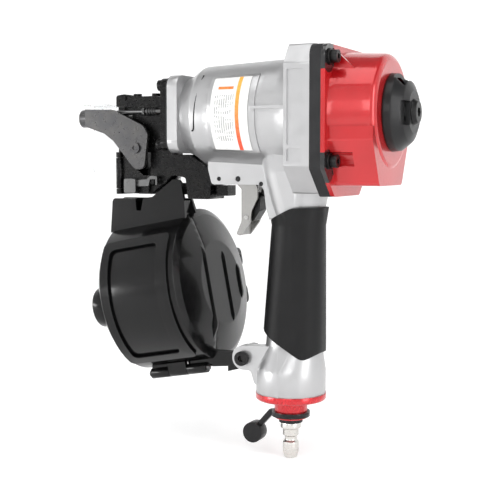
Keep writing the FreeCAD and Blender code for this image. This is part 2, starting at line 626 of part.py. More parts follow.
def nose():
    """The steel nose: gasket, casting, guide tube, top cover and fasteners."""
    gasket = Piece("nose_gasket")
    plate = box("2 - front_half_width", "front_half_width - 2", "1 - front_bottom", "front_top - 1", 8)
    gasket.slab("X", plate, GASKET_FRONT, "barrel_front")
    gasket.hole("X", 0, 0, 8, GASKET_FRONT, "barrel_front")
    casting = Piece("nose_housing")
    casting.slab("X", box("6 - front_half_width", "front_half_width - 6", "2 - front_bottom",
                 "front_top - 1.6", 6),
                 FLANGE_FRONT, GASKET_FRONT)
    casting.slab("Y", [("nose_front + 12", 8.2), ("nose_front + 12", -36), ("channel_front + 10",
                 "-nose_bottom"),
                       ("channel_rear - 18", "-nose_bottom"), (FLANGE_FRONT,
                                                               "-nose_bottom + 14"), (FLANGE_FRONT, 8.2)],
                 "-nose_near", "nose_near + 3")
    casting.slab("Y", box("nose_front", "channel_rear - 20", "-nose_bottom", "-nose_bottom + 49"),
                 "channel_half + 0.2",
                 "nose_near")
    casting.slab("Y", box("nose_front", "channel_front - 0.5", "-nose_bottom", 8.2), "-nose_near",
                 "nose_near")
    casting.slab("Y", [("nose_front", 8, 1), ("nose_front", 16.5, 2), ("nose_front + 8", 17.5, 1),
                       ("nose_front + 8", 13), (FLANGE_FRONT, 13), (FLANGE_FRONT, 8)], -10, 12)
    # channel for the nails, open below and, low down, towards the door
    casting.cut("Y", box("channel_front", "channel_rear", "-nose_bottom - 1", 0), "-channel_half",
                "channel_half")
    casting.cut("Y", box("channel_front", "channel_rear - 18", "-nose_bottom - 1", -26), "-nose_near - 1",
                "-channel_half")
    casting.hole("X", 0, 0, "guide_radius + seat_fit", "nose_front", GASKET_FRONT)
    casting.cut("Y", box("feed_x - 6.5", "feed_x + 6.5", -44, -12), "channel_half", "nose_near + 4")
    # lugs for the door's hinge pin
    for low in ("-nose_bottom", -30):
        casting.slab("Z", [("door_hinge_x - 2.5", "1 - nose_near"), ("door_hinge_x - 2.5",
                     "-door_hinge_y - 2.5", 2.4),
                           ("door_hinge_x + 2.5", "-door_hinge_y - 2.5", 2.4), ("door_hinge_x + 2.5",
                                                                                "1 - nose_near")],
                     low, f"{low} + 4")
        casting.hole("Z", "door_hinge_x", "-door_hinge_y", "door_pin_radius + seat_fit", low, f"{low} + 4")
    for side in (-1, 1):
        for bolt_y, bolt_z in NOSE_BOLTS:
            spot = (f"{side} * ({bolt_y})", bolt_z)
            casting.hole("X", *spot, 2.7, FLANGE_FRONT, GASKET_FRONT)
            gasket.hole("X", *spot, 2.7, GASKET_FRONT, "barrel_front")
    casting.hole("X", "-rod_y", "rod_z", 3.4, FLANGE_FRONT, GASKET_FRONT)
    # catch stud for the door's latch
    casting.slab("Y", [], "-nose_near - 5", "1 - nose_near", [("latch_x + 14", "latch_z + 0.6", 1.6)])
    guide = Piece("driver_guide")
    guide.turn("X", ring("foot_travel + 2", GASKET_FRONT, "blade_radius + run_fit", "guide_radius"))
    guide.cut("Z", box("channel_front", "channel_rear", "-channel_half", "channel_half"), "-guide_radius",
              0)
    cover = Piece("top_cover")
    cover.slab("Y", [("nose_front + 8.5", 13), ("nose_front + 8.5", 15.5, 1), ("channel_rear - 12", 15.5,
               1),
                     ("channel_rear - 3", 13)], -9, 11)
    screws, bolts = [], []
    for screw_x in ("nose_front + 13", "channel_rear - 17"):
        cover.hole("Z", screw_x, 0, 2.1, 12, 16)
        casting.hole("Z", screw_x, 0, "2 + seat_fit", 9, 13)
        screws.append(socket_bolt((screw_x, 0, 15.5), UPWARD, 3.2, 2.4, 2, 6))
    group("top_screws", screws)
    for bolt_y, bolt_z in NOSE_BOLTS:
        bolt = socket_bolt((FLANGE_FRONT, f"-({bolt_y})", bolt_z), FORWARD, 4, 4.5, 2.5, 15.5)
        bolts += [bolt, mirrored(bolt)]
    group("nose_bolts", bolts)


def contact():
    """The contact foot with its leaf, the link that runs back to the trigger, rod and spring."""
    foot = Piece("contact_foot")
    foot.turn("X", ring(0, "foot_length", "guide_radius + run_fit", "foot_radius"))
    foot.loft("X", (("foot_length - 14", box("1 - leaf_near", -5.2, -5, 6.5, 0.8)),
                    ("foot_length + 0.5", box("1 - leaf_near", -5.2, -11, 6, 0.8))))
    foot.slab("Y", [("foot_length - 14", 6.5), ("foot_length + 11", 5.6), ("foot_length + 37", -6.5, 6),
                    ("foot_length + 41", -13, 5), ("foot_length + 37.5", -40, 5), ("foot_length + 29",
                                                                                   -38, 7),
                    ("foot_length + 11", -17.5), ("foot_length + 3", -12), ("foot_length - 14", -6.5)],
              "-leaf_near", LEAF_FAR)
    foot.loft("X", (("foot_length - 12", box(5.2, "link_near", -4, 5)),
                    ("foot_length + 0.5", box(5.2, "link_near", -10, 5))))
    foot.hole("Y", "foot_length + 30.4", -23, 2.2, "-leaf_near - 1", LEAF_FAR)
    link = Piece("contact_link")
    link.slab("Y", [("foot_length - 12", 5, 2), ("foot_length + 19", 2, 3), ("foot_length + 21", -48, 3),
                    ("trigger_x - 17", -50.5, 1), ("trigger_x - 17", "-nose_bottom - 0.5"),
                    ("foot_length + 13", "-nose_bottom - 0.5", 6), ("foot_length + 11", -10, 4),
                    ("foot_length - 12", -6, 2)], "link_near", "link_near + link_thick")
    link.slab("Z", [("trigger_x - 21", "link_near + link_thick"), ("trigger_x - 21", -6),
              ("trigger_x - 12", -6),
                    ("trigger_x - 12", 6), ("trigger_x - 15", 6), ("trigger_x - 15",
                                                                   "link_near + link_thick")],
              "-nose_bottom - 0.5", -50.5)
    screw = socket_bolt(("foot_length + 30.4", "-leaf_near", -23), NEARWARD, 4, 1.5, 2.1, "leaf_thick")
    screw.Label = "contact_screw"
    parts["contact_screw"] = screw
    rail = Piece("contact_rod")
    rail.slab("X", [], "foot_length + 12", "channel_rear - 4.5", [("-rod_y", "rod_z", 1.4)])
    rail.slab("X", [], "channel_rear - 22", "channel_rear - 20", [("-rod_y", "rod_z", 3.2)])
    spring("contact_spring", ("channel_rear - 19.9", "-rod_y", "rod_z"), REARWARD, 9.5, 2.3, 0.5, 4)


def arm_guide():
    """The black casting under the barrel that guides the contact link."""
    block = Piece("arm_guide")
    block.slab("Y", [(FLANGE_FRONT, "-front_bottom - 1"), (FLANGE_FRONT, -42, 2), ("barrel_front + 4",
               -45, 2),
                     ("barrel_front + 6", "-nose_bottom - 3", 2),
                     ("trigger_x - 24.3", "-nose_bottom - 3", 2), ("trigger_x - 24.3",
                                                                   "-front_bottom - 12", 6),
                     ("barrel_front + 7.5", "-front_bottom - 1")], -10, "link_near - 0.5")
    block.slab("Y", box("barrel_front + 6", "trigger_x - 25", -47.2, -44), 10, 14)
    block.slab("Y", box("barrel_front + 6", "trigger_x - 25", "-nose_bottom - 3", "-nose_bottom - 0.9"),
               10, 14)


def nail_door():
    """The door over the lower nail channel, its pin, its latch and its check pawl."""
    inner, outer = "(door_hinge_y - nose_near - 0.3)", "(door_hinge_y - nose_near - 2.5)"
    low, high = "(4.3 - nose_bottom)", -30.3
    door = Piece("nail_door", ("door_hinge_x", "-door_hinge_y", 0))
    door.slab("Y", [(2.8, -26.5), (2.8, "0.5 - nose_bottom"), (25, "0.5 - nose_bottom", 2), (25, -43.5, 2),
                    (19, -43.5)], outer, inner)
    door.turn("Z", ring(low, high, "door_pin_radius + run_fit", 2.6))
    door.slab("Z", box(1.7, 4, outer, inner), low, high)
    for ear in ("channel_front + 1", "channel_front + 9.2"):
        door.slab("X", box(inner, "door_hinge_y - 4", "latch_z - 5", "latch_z + 1"),
                  f"{ear} - door_hinge_x", f"{ear} - door_hinge_x + 1.6")
    door.hole("X", "door_hinge_y - 5.6", "latch_z - 2", "1 + run_fit", "channel_front + 0.9 - door_hinge_x",
              "channel_front + 11 - door_hinge_x")
    door.hole("Y", "latch_x - door_hinge_x + 4", "latch_z", "1.5 + run_fit", outer, inner)
    pin = cylinder(("door_hinge_x", "-door_hinge_y", "-nose_bottom"), UPWARD, "door_pin_radius",
                   "nose_bottom - 26")
    pin.Label = "door_hinge_pin"
    parts["door_hinge_pin"] = pin
    latch = Piece("door_latch", ("latch_x + 4", 0, "latch_z"))
    face = "(-nose_near - 2.8)"
    latch.slab("Y", [(-4, 2.2, 1), (5, 2.6), (8.2, 5.2, 1), (14, 5.2, 1), (14, -1.4, 0.4), (12.6, -1.4),
                     (12.6, 2.8), (7.8, 2.8), (6.8, -2.2, 1), (-4, -2.6)], f"{face} - 2.2", face)
    latch.slab("Y", box(-13.5, -3.5, -7.5, 3, 1.2), f"{face} - 4.2", face)
    latch.slab("Y", [], face, "-nose_near - 0.4", [(0, 0, 1.5)])
    pawl = Piece("check_pawl", ("channel_front + 5.9", -5.6, "latch_z - 2"))
    pawl.slab("X", [(-1.3, -1.6, 1), (1.3, -1.6, 1), (1.9, 7), (-1.2, 7)], -3.1, 3.1)
    pawl.slab("X", [], -4.8, 4.8, [(0, 0, 1)])


def feeder():
    """The feed cylinder on the far side, its piston, spring, end cap and pawl."""
    body = Piece("feed_cylinder", ("feed_x", "feed_y", 0))
    body.turn("Z", [(-66, "feed_bore"), (-40, "feed_bore"), (-40, "2.5 + run_fit"), (-37, "2.5 + run_fit"),
                    (-37, "feed_bore + 1.5"), (-38.5, "feed_bore + 2.6"), (-66, "feed_bore + 2.6")])
    body.slab("Y", box(-4.5, 4.5, -47.5, -39.5, 1), "nose_near + 3 - feed_y", "-feed_bore - 0.4")
    end = Piece("feed_cap", ("feed_x", "feed_y", 0))
    end.turn("Z", [(-68.5, 0), (-68.5, "feed_bore + 1", 1), (-66, "feed_bore + 2.6"), (-66,
             "feed_bore - seat_fit"),
                   (-63, "feed_bore - seat_fit"), (-63, 0)])
    piston = Piece("feed_piston", ("feed_x", "feed_y", 0))
    piston.turn("Z", [(-47, 0), (-47, "feed_bore - run_fit"), (-41, "feed_bore - run_fit"), (-41, 2.5),
                (-24, 2.5),
                      (-24, 0)])
    piston.slab("X", [(-12, -19, 1), (-12, -23.5, 1), (-9, -24.5), (4, -24.5, 1), (4, -18, 1), (-9, -18)],
                -5, 5)
    piston.cut("X", box(-12.5, -8.4, -25, -17), -3.3, 3.3)
    piston.hole("X", -10.3, -21.2, "1.2 + seat_fit", -5, 5)
    spring("feed_spring", ("feed_x", "feed_y", -62.9), UPWARD, 15.8, 4.6, 0.75, 4)
    pawl = Piece("feed_pawl", ("feed_x", "feed_y - 10.3", -21.2))
    pawl.slab("X", [(1.7, -1.7, 1.2), (1.7, 1.8, 1.2), (-3, 1.8), (-11, 0.6, 0.5), (-11, -0.6, 0.5), (-3,
              -1.8)],
              -3.1, 3.1)
    pawl.hole("X", 0, 0, "1.2 + run_fit", -3.2, 3.2)
    pin = cylinder(("feed_x - 5.5", "feed_y - 10.3", -21.2), REARWARD, 1.2, 11)
    pin.Label = "feed_pawl_pin"
    parts["feed_pawl_pin"] = pin


def trigger_group():
    """Trigger, its pin, the safety lever inside it and the valve that they work."""
    trigger = Piece("trigger", ("trigger_x", 0, "trigger_z"))
    for side in (-1, 1):
        low, high = ("-trigger_half", "1.8 - trigger_half") if side < 0 else ("trigger_half - 1.8",
                                                                              "trigger_half")
        trigger.slab("Y", [(-3.8, 3.8, 3.6), (8, 3.8, 3), (13, -6.5, 3), (13, -14, 4), (8.5, -23, 6),
                     (7.3, -31, 5),
                           (-0.4, -41, 1.2), (-3.8, -40, 1.2), (0.4, -30.5, 6), (0.4, -7.5), (-3.8, -3, 2)],
                     low, high)
    trigger.slab("Y", [(0.4, -7.5), (0.4, -30.5, 6), (-3.8, -40, 1.2), (-0.4, -41, 1.2), (1.8, -33.5, 3),
                       (1.8, -7.5)], "0.5 - trigger_half", "trigger_half - 0.5")
    trigger.hole("Y", 0, 0, "trigger_pin_radius + run_fit", "-trigger_half", "trigger_half")
    trigger.hole("Y", "lever_x - trigger_x", "lever_z - trigger_z", "1.5 + seat_fit", "-trigger_half",
                 "trigger_half")
    for name, pin_x, pin_z, radius, reach in (("trigger_pin", "trigger_x", "trigger_z",
                                              "trigger_pin_radius", 13.6),
                                              ("lever_pin", "lever_x", "lever_z", 1.5, 9.8)):
        pin = cylinder((pin_x, reach, pin_z), NEARWARD, radius, 2 * reach)
        pin.Label = name
        parts[name] = pin
    lever = Piece("safety_lever", ("lever_x", 0, "lever_z"))
    lever.slab("Y", [(-2.3, -2.4, 2.2), (4, -2.6, 2), (9, 5, 2), (9.5, 15, 1.5), (1.5, 16.5, 1), (-1.2, 6,
               2),
                     (-2.3, 2.4, 1)], -5.5, 5.5)
    lever.hole("Y", 0, 0, "1.5 + run_fit", -5.5, 5.5)
    body = Piece("valve_body", ("valve_x", 0, "trigger_z"))
    body.turn("Z", [(1.5, "2 + run_fit"), (7.5, "2 + run_fit"), (7.5, 4.5), (15.9, 4.5), (15.9,
              "valve_radius"),
                    (2.5, "valve_radius"), (1.5, "valve_radius - 1")])
    stem = Piece("valve_stem", ("valve_x", 0, "trigger_z"))
    stem.turn("Z", [(-10, 0), (-10, 2, 0.8), (7.8, 2), (7.8, 4.3), (9.6, 4.3), (9.6, 0)])
    spring("valve_spring", ("valve_x", 0, "trigger_z + 9.7"), UPWARD, 6, 3.1, 0.5, 4)


def handle_end():
    """Grip, end cap, air plug with its washer, and the dust cap on its strap."""
    grip = Piece("grip_sleeve")
    wall = "grip_thick"
    for low, high, lower, upper in ((-164, -78, (-17.5, 22.5, 17), (-11, 22.5, 15.5)),
                                    (-78, -56, (-11, 22.5, 15.5), (-13.9, 24.9, 19.3))):
        grip.loft("Z", [(height, box(f"handle_x + {front} - {wall}", f"handle_x + {back} + {wall}",
                                     f"-{side} - {wall}", f"{side} + {wall}", f"15 + {wall}"))
                        for height, (front, back, side) in ((low, lower), (high, upper))])
    grip.slab("Z", box(f"handle_x - 17.5 - {wall}", f"handle_x + 22.5 + {wall}", f"-17 - {wall}",
                       f"17 + {wall}", f"15 + {wall}"), -173, -164)
    for low, high, lower, upper in ((-164, -78, (-17.5, 22.5, 17), (-11, 22.5, 15.5)),
                                    (-78, -40, (-11, 22.5, 15.5), (-17.5, 27.5, 22)),
                                    (-182, -164, (-25, 25, 25), (-17.5, 22.5, 17))):
        grip.loft("Z", [(height, box(f"handle_x + {front} - 0.2", f"handle_x + {back} + 0.2",
                                     f"-{side} - 0.2", f"{side} + 0.2", 15.2 if side < 25 else 24.7))
                        for height, (front, back, side) in ((low, lower), (high, upper))], cutting=True)
    grip.cut("Y", [("handle_x - 40", -50), ("handle_x - 40", "trigger_z - 34"), ("handle_x - 14",
             "trigger_z - 30"),
                   ("handle_x + 8", "trigger_z - 20", 12), ("handle_x + 32", "trigger_z - 19.5"),
                   ("handle_x + 32", -50)], -30, 30)
    grip.cut("Y", [("handle_x - 40", -180), ("handle_x - 40", -148), ("handle_x - 20", -151.5, 2),
                   ("handle_x + 16", -173, 6), ("handle_x + 32", -164), ("handle_x + 32", -180)], -30, 30)
    end_cap = Piece("handle_end_cap", ("handle_x", 0, 0))
    end_cap.turn("Z", [("handle_bottom + 11", 5), ("handle_bottom + 11", "20 - seat_fit"),
                       ("handle_bottom", "20 - seat_fit"), ("handle_bottom", "handle_end_radius + 0.6"),
                       (CAP_BOTTOM, "handle_end_radius + 0.6", 2), (CAP_BOTTOM, "boss_radius"),
                       (BOSS_BOTTOM, "boss_radius", 1), (BOSS_BOTTOM, "5 + seat_fit"),
                       ("handle_bottom + 6", "5 + seat_fit"), ("handle_bottom + 6", 5)])
    flat = washer(("handle_x", 0, PLUG_TOP), UPWARD, "5 + seat_fit", 8.6, 3)
    flat.Label = "plug_washer"
    parts["plug_washer"] = flat
    plug = Piece("air_plug", ("handle_x", 0, PLUG_TOP))
    plug.turn("Z", [("boss_length", 3), ("boss_length", 5), (0, 5), (0, "plug_radius"), (-4,
              "plug_radius", 0.6),
                    (-5, "plug_radius - 1.6"), (-9.5, "plug_radius - 1.6", 0.5), (-10.5, "plug_radius - 3"),
                    (-13, "plug_radius - 3"), (-14.5, "plug_radius - 1.5", 0.5), ("4 - plug_length",
                                                                                  "plug_radius - 1.5"),
                    ("-plug_length", "plug_radius - 2.8"), ("-plug_length", 3)])
    dust = Piece("dust_cap", ("handle_x", 0, BOSS_BOTTOM))
    dust.turn("Z", ring(1.5, 5, "boss_radius + 0.1", "boss_radius + 1.8"))
    dust.slab("Y", [(-13, 5), (-13.5, 1.5), (-23, -9), (-26, -6.5), (-16.5, 4.5)], -2, 2)
    dust.slab("Y", [], -5, 5, [(-28.7, -13.4, 7.5)])
    dust.hole("Y", -28.7, -13.4, 6, -2, 5)


def along(x, z, *radius):
    """A point given along X and Z of the whole tool, as the magazine's own (u, w)."""
    return (f"(({x}) - drum_x) * cos(drum_tilt) + (({z}) - drum_z) * sin(drum_tilt)",
            f"(({z}) - drum_z) * cos(drum_tilt) - (({x}) - drum_x) * sin(drum_tilt)", *radius)


def drum_half(name, low, high):
    """One half of the hollow drum, cut off by the plane where the two halves meet."""
    half = Piece(name, ("drum_x", "drum_y", "drum_z"), Vector(0, 1, 0), "-drum_tilt")
    wall = "drum_wall"
    half.turn("X", [(0, 0), (0, "drum_radius - 6", 1), (5, "drum_radius", 2), ("drum_length",
              "drum_radius", 1),
                    ("drum_length + 3", "drum_radius - 5", 2), ("drum_length + 9", "drum_radius - 26", 6),
                    ("drum_length + 9", 0), (f"drum_length + 9 - {wall}", 0),
                    (f"drum_length + 9 - {wall}", "drum_radius - 27"), (f"drum_length + 3 - {wall}",
                                                                        "drum_radius - 7.5"),
                    (f"drum_length - {wall}", f"drum_radius - {wall}"), (6, f"drum_radius - {wall}"),
                    (wall, "drum_radius - 7.5"), (wall, 0)])
    half.cut("Y", box(-1, "drum_length + 10", "-drum_radius - 1", "drum_radius + 1"), low, high)
    # slot through which the coil's strip leaves
    half.cut("Y", [along("channel_front", -100), along("channel_rear + 2", -100),
             along("channel_rear + 2", -50),
                   along("channel_front", -50)], "-drum_y - channel_half - 1", "-drum_y + channel_half + 1")
    return half


def magazine():
    """The two halves of the drum with their hinge, the post inside it and the platform on the post."""
    near_edge, far_edge = "(-drum_y - split_gap / 2)", "(-drum_y + split_gap / 2)"
    cover = drum_half("magazine_cover", near_edge, "drum_radius + 1")
    cover.slab("Y", [along(30, -61, 3), along(50, -61), along(51, -70), along(55, -70), along(57, -60.5, 2),
                     along("channel_rear - 17", -59.5), along("channel_rear + 0.5", -46.5), along(89,
                                                                                                  -46.5, 3),
                     along(92, -62, 3), along(93, -76), along(28, -87.5)],
               "-drum_y - nose_near", "-drum_y - channel_half - 1")
    cover.slab("Y", [along(89, -62), along(92, -62), along(92, -75.5), along(89, -75.5)],
               "-drum_y - channel_half - 1", near_edge)
    shell = drum_half("magazine_shell", "-drum_radius - 1", far_edge)
    shell.slab("Y", [along(26, -64, 4), along(34, -60.5, 2), along(92, -60.5, 2), along(96, -71.4),
               along(28, -84.4)],
               "-drum_y + channel_half + 1", "-drum_y + nose_near")
    shell.slab("Y", [along(89, -62), along(92, -62), along(92, -73.5), along(89, -73.5)],
               far_edge, "-drum_y + channel_half + 1")
    # ears on the far side of the shell's rear rim
    for up in (-14, 16):
        shell.slab("X", [("drum_radius - 4", f"{up} - 8"), ("drum_radius + 5", f"{up} - 7", 5),
                         ("drum_radius + 5", f"{up} + 7", 5), ("drum_radius - 4", f"{up} + 8")],
                   "drum_length - 4", "drum_length - 1.3", [("drum_radius + 0.5", up, 2.4)])
    # lug that reaches back to the handle's arm
    for front, low in ((98, far_edge), (127, "-drum_y - 4.7")):
        shell.slab("Y", [along(front, "mount_z + 1"), along(front, "mount_z - 13"),
                         along("mount_x", "mount_z - 8.1"), along("mount_x", "mount_z + 7"),
                         along("mount_x - 8", "mount_z + 1")], low, "-drum_y + 4.6")
    shell.slab("Y", [], "-drum_y - 4.7", "-drum_y + 4.6", [along("mount_x", "mount_z", 8.3)])
    shell.hole("Y", *along("mount_x", "mount_z"), "3 + run_fit", "-drum_y - 5", "-drum_y + 5")
    # hinge knuckles, two on the shell with one of the cover's between them
    for half, starts, side in ((shell, (14, 46), 1), (cover, (30.3,), -1)):
        for start in starts:
            end = start + (15.4 if side < 0 else 16)
            edges = (far_edge, "4 - drum_y") if side > 0 else ("-drum_y - 4", near_edge)
            half.slab("X", box(*edges, "-hinge_drop", "6.6 - hinge_drop"), start, end)
            half.slab("X", [], start, end, [("-drum_y", "-hinge_drop", "knuckle_radius")])
    for half in (shell, cover):
        half.hole("X", "-drum_y", "-hinge_drop", "hinge_pin_radius + run_fit", 13, 66)
    # the post that the coil turns on, and the platform that carries it
    frame = (("drum_x", "drum_y", "drum_z"), Vector(0, 1, 0), "-drum_tilt")
    pin = Piece("magazine_hinge_pin", *frame)
    pin.slab("X", [], 12, 64, [("-drum_y", "-hinge_drop", "hinge_pin_radius")])
    post = Piece("nail_post", *frame)
    post.slab("X", [], 9, "drum_length + 9 - drum_wall", [(0, 0, "post_radius")])
    post.slab("X", [], "drum_length + 1", "drum_length + 9 - drum_wall", [(0, 0, "post_radius + 5")])
    platform = Piece("coil_platform", *frame)
    platform.turn("X", [("drum_length - 14", "post_radius + run_fit"), ("drum_length - 14",
                  "post_radius + 3"),
                        ("drum_length - 4", "post_radius + 3"), ("drum_length - 4", "drum_radius - 14"),
                        ("drum_length - 1.5", "drum_radius - 14"), ("drum_length - 1.5",
                                                                    "post_radius + run_fit")])
    knob = Piece("hub_knob", *frame)
    knob.slab("X", [], -9, 0, [("-drum_y - 17", -4, 15)])
    bolt = socket_bolt(("mount_x", -15, "mount_z"), NEARWARD, 5.2, 4, 3, 24)
    bolt.Label = "magazine_bolt"
    parts["magazine_bolt"] = bolt


def debris_guard():
    """The clear sheet that hangs behind the contact foot."""
    guard = Piece("debris_guard")
    far, thick = "(foot_radius + 0.5)", 1.2
    rear = "(nose_front - foot_travel - 0.8)"
    guard.slab("Y", [(5, "foot_radius + 3.6"), (3, -42, 3), (30, -42, 6), (30, -6), (rear, 4),
                     (rear, "foot_radius + 3.6")], far, f"{far} + {thick}")
    guard.slab("X", box(-8, far, "foot_radius + 2.4", "foot_radius + 3.6"), 5, rear)
    guard.cut("Y", box("foot_length - 12.5", 32, -10.5, 8), far, f"{far} + {thick}")


for make in (main_housing, label_plate, housing_pins, engine, head_valve, cylinder_cap, exhaust, nose,
             contact,
             arm_guide, nail_door, feeder, trigger_group, handle_end, magazine, debris_guard):
    make()

doc.recompute()
for item in doc.Objects:
    if "Invalid" in item.State or "Error" in item.State:
        raise ValueError(f"{item.Label} failed: {item.State}")
for name, part in parts.items():
    if part.Shape.isNull() or not part.Shape.isValid() or not part.Shape.Solids:
        raise ValueError(f"{name} has no valid shape")

os.makedirs("parts", exist_ok=True)
for name, part in parts.items():
    part.Shape.exportStep(f"parts/{name}.step")
    print(f"{name}: {len(part.Shape.Solids)} solid(s), {part.Shape.Volume:.0f} mm3")
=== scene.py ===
import math

import bmesh
import bpy
from mathutils import Matrix, Vector


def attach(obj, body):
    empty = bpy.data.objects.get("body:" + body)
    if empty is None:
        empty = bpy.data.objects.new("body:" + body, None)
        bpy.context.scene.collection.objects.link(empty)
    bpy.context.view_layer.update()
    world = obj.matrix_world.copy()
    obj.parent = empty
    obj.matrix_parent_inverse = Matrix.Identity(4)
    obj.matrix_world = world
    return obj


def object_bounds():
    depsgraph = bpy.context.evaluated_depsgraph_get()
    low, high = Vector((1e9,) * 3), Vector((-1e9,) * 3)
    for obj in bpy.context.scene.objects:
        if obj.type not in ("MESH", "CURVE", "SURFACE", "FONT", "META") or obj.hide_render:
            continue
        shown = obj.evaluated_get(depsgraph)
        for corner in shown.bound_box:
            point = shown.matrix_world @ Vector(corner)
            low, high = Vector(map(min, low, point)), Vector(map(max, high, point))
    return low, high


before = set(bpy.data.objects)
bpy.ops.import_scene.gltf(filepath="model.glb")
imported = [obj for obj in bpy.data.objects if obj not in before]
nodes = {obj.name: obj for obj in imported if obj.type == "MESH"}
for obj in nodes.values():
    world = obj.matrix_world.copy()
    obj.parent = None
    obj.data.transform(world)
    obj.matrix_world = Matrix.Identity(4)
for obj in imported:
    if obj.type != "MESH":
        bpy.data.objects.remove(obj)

cad_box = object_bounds()

# --- Main casting -------------------------------------------------------------------------
# The cylinder barrel, rear block, trigger housing and hollow handle are one die casting in
# aluminium, shot-blasted to an even satin and then machined where other parts seat on it.


def new_material(name, metallic, rough, **sockets):
    """A material with its constant sockets set on the shader itself."""
    material = bpy.data.materials.new(name)
    material.use_nodes = True
    shader = material.node_tree.nodes["Principled BSDF"]
    shader.inputs["Metallic"].default_value = metallic
    shader.inputs["Roughness"].default_value = rough
    for socket, value in sockets.items():
        shader.inputs[socket.replace("_", " ")].default_value = value
    return material, material.node_tree, shader


def speckle(tree, size, detail=3.0, stretch=(1, 1, 1)):
    """Noise fixed to the object, with features of about the given size in metres."""
    place = tree.nodes.new("ShaderNodeTexCoord")
    turn = tree.nodes.new("ShaderNodeMapping")
    turn.inputs["Scale"].default_value = stretch
    noise = tree.nodes.new("ShaderNodeTexNoise")
    noise.inputs["Scale"].default_value = 1 / size
    noise.inputs["Detail"].default_value = detail
    tree.links.new(place.outputs["Object"], turn.inputs["Vector"])
    tree.links.new(turn.outputs["Vector"], noise.inputs["Vector"])
    return noise.outputs["Fac"]


def spread(tree, source, low, high, start=0.3, end=0.7):
    """A value that follows a source between two limits."""
    ranged = tree.nodes.new("ShaderNodeMapRange")
    ranged.inputs["From Min"].default_value = start
    ranged.inputs["From Max"].default_value = end
    ranged.inputs["To Min"].default_value = low
    ranged.inputs["To Max"].default_value = high
    tree.links.new(source, ranged.inputs["Value"])
    return ranged.outputs["Result"]


def tint(tree, source, first, second):
    """A colour that runs from the first to the second as the source runs from 0 to 1."""
    mixed = tree.nodes.new("ShaderNodeMix")
    mixed.data_type = "RGBA"
    mixed.inputs["A"].default_value = (*first, 1)
    mixed.inputs["B"].default_value = (*second, 1)
    tree.links.new(source, mixed.inputs["Factor"])
    return mixed.outputs["Result"]


def relief(tree, shader, source, depth, strength=1.0):
    """Raises the surface by a source, to a depth in metres."""
    bump = tree.nodes.new("ShaderNodeBump")
    bump.inputs["Strength"].default_value = strength
    bump.inputs["Distance"].default_value = depth
    tree.links.new(source, bump.inputs["Height"])
    tree.links.new(bump.outputs["Normal"], shader.inputs["Normal"])


def worn_edge(tree, radius):
    """One on sharp edges and zero on open faces."""
    rounded = tree.nodes.new("ShaderNodeBevel")
    rounded.samples = 4
    rounded.inputs["Radius"].default_value = radius
    flat = tree.nodes.new("ShaderNodeNewGeometry")
    facing = tree.nodes.new("ShaderNodeVectorMath")
    facing.operation = "DOT_PRODUCT"
    tree.links.new(rounded.outputs["Normal"], facing.inputs[0])
    tree.links.new(flat.outputs["Normal"], facing.inputs[1])
    return spread(tree, facing.outputs["Value"], 1.0, 0.0, 0.86, 0.99)


def blasted_metal(name, light, dark, metallic, rough, grain, depth):
    """Cast or blasted metal: a fine even grain, with slow drifts of tone over the face."""
    material, tree, shader = new_material(name, metallic, rough)
    drift = spread(tree, speckle(tree, 0.03), 0, 1, 0.35, 0.65)
    tree.links.new(tint(tree, drift, light, dark), shader.inputs["Base Color"])
    gloss = spread(tree, speckle(tree, 0.006), rough - 0.05, rough + 0.06)
    tree.links.new(gloss, shader.inputs["Roughness"])
    relief(tree, shader, speckle(tree, grain, 5.0), depth)
    return material


def dress(name, material, edge):
    """Gives a CAD node its finish and breaks its sharp edges."""
    node = nodes[name]
    node.data.materials.clear()
    node.data.materials.append(material)
    if edge:
        weld = node.modifiers.new("closed seams", "WELD")
        weld.merge_threshold = 0.000002
        soft = node.modifiers.new("broken edges", "BEVEL")
        soft.width = edge
        soft.segments = 2
        soft.limit_method = "ANGLE"
        soft.angle_limit = math.radians(32)
        soft.harden_normals = True


cast_aluminium = blasted_metal("cast_aluminium", (0.47, 0.47, 0.475), (0.44, 0.44, 0.445),
                               metallic=0.8, rough=0.34, grain=0.0006, depth=0.00003)
dress("main_housing", cast_aluminium, 0.0006)

# --- Spring clip ------------------------------------------------------------------------------
# A dark wire clip lies in a shallow groove round the near side of the barrel, just behind its
# front flange, with its lower end turned in.
groove_radius = 0.0360
wire_radius = 0.0006
clip_line = bpy.data.curves.new("spring_clip", "CURVE")
clip_line.dimensions = "3D"
clip_line.bevel_depth = wire_radius
clip_line.bevel_resolution = 4
clip_line.use_fill_caps = True
wire = clip_line.splines.new("NURBS")
clip_points = [(0.1176, 0.0275), (0.1172, 0.019), (0.1166, 0.010), (0.1160, 0.001), (0.1154, -0.007),
               (0.1150, -0.0105), (0.1140, -0.0118), (0.1134, -0.0112)]
wire.points.add(len(clip_points) - 1)
for point, (x, z) in zip(wire.points, clip_points):
    point.co = (x, -math.sqrt(groove_radius ** 2 - z ** 2), z, 1)
wire.order_u = 4
wire.use_endpoint_u = True
bent = bpy.data.objects.new("clip_line", clip_line)
bpy.context.collection.objects.link(bent)
shaped = bent.evaluated_get(bpy.context.evaluated_depsgraph_get())
clip = bpy.data.objects.new("spring_clip", bpy.data.meshes.new_from_object(shaped))
bpy.data.objects.remove(bent)
bpy.context.collection.objects.link(clip)
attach(clip, "frame")

# --- Roll pins ------------------------------------------------------------------------------
# Two sprung steel pins are pressed across the trigger housing, and the trigger turns on a third.
# These three are black oxide; the lever's pin is left bright, and the wire clip is dark too.


